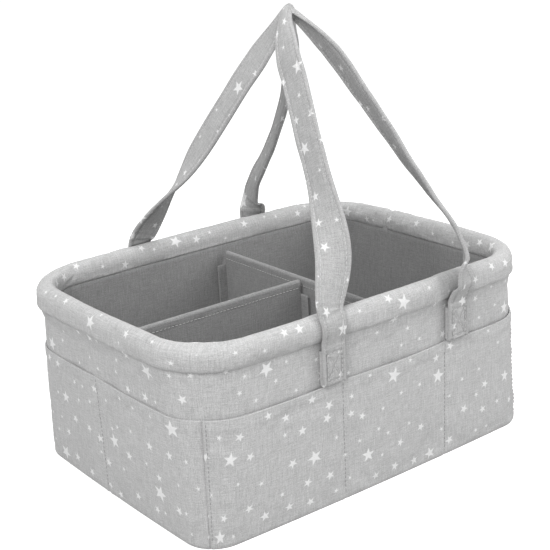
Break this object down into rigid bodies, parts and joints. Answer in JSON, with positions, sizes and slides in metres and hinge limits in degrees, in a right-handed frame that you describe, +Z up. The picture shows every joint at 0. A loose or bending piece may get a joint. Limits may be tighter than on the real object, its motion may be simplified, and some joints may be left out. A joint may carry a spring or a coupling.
{
  "type": "diaper caddy",
  "caption": "Open-topped fabric nursery caddy with a padded rim, slip pockets round the outside, two folding strap handles and lift-out dividers.",
  "frame": {"origin": "middle of the underside, on the surface the caddy stands on", "axes": "+Z up, +X along the long sides towards the end with the one open compartment, +Y from the front long side to the back one"},
  "size_m": [0.3968, 0.3298, 0.3995],
  "materials": {
    "printed_cotton": "matte heathered grey cotton with paler scattered stars",
    "strap_cotton": "matte heathered grey cotton, topstitched",
    "lining": "matte plain grey cotton",
    "padding": "white polyester wadding",
    "felt_board": "stiff pressed felt and foam board",
    "base_board": "plain pressed board",
    "webbing": "plain woven cotton webbing",
    "tape": "grey nylon hook-and-loop tape"
  },
  "bodies": {
    "caddy": {"underside_panel": "printed_cotton", "base_board": "base_board", "floor_lining": "lining", "outer_wall": "printed_cotton", "wall_stiffener_front": "felt_board", "wall_stiffener_right": "felt_board", "wall_stiffener_back": "felt_board", "wall_stiffener_left": "felt_board", "lining_wall": "lining", "rim_binding": "printed_cotton", "rim_padding": "padding", "pocket_front": "printed_cotton", "pocket_right": "printed_cotton", "pocket_back": "printed_cotton", "pocket_left": "printed_cotton", "front_strap_foot_left": "strap_cotton", "front_strap_foot_right": "strap_cotton", "back_strap_foot_left": "strap_cotton", "back_strap_foot_right": "strap_cotton", "wall_loop_tape_front": "tape", "wall_loop_tape_back": "tape", "wall_loop_tape_left": "tape"},
    "front_handle": {"front_handle_strap": "strap_cotton", "front_handle_webbing": "webbing"},
    "back_handle": {"back_handle_strap": "strap_cotton", "back_handle_webbing": "webbing"},
    "cross_divider": {"cross_divider_cover": "lining", "cross_divider_board": "felt_board", "cross_divider_hook_tape_front": "tape", "cross_divider_hook_tape_back": "tape", "cross_divider_loop_tape": "tape"},
    "long_divider": {"long_divider_cover": "lining", "long_divider_board": "felt_board", "long_divider_hook_tape_left": "tape", "long_divider_hook_tape_right": "tape"}
  },
  "joints": [
    {"name": "front_handle_fold", "type": "hinge", "parent": "caddy", "child": "front_handle", "pos_m": [0.015, -0.1483, 0.1476], "axis": [1, 0, 0], "range_deg": [0, 145]},
    {"name": "back_handle_fold", "type": "hinge", "parent": "caddy", "child": "back_handle", "pos_m": [0.015, 0.1483, 0.1476], "axis": [-1, 0, 0], "range_deg": [0, 145]},
    {"name": "cross_divider_lift", "type": "slide", "parent": "caddy", "child": "cross_divider", "axis": [0, 0, 1], "range_m": [0, 0.172]},
    {"name": "long_divider_lift", "type": "slide", "parent": "caddy", "child": "long_divider", "axis": [0, 0, 1], "range_m": [0, 0.172]}
  ]
}
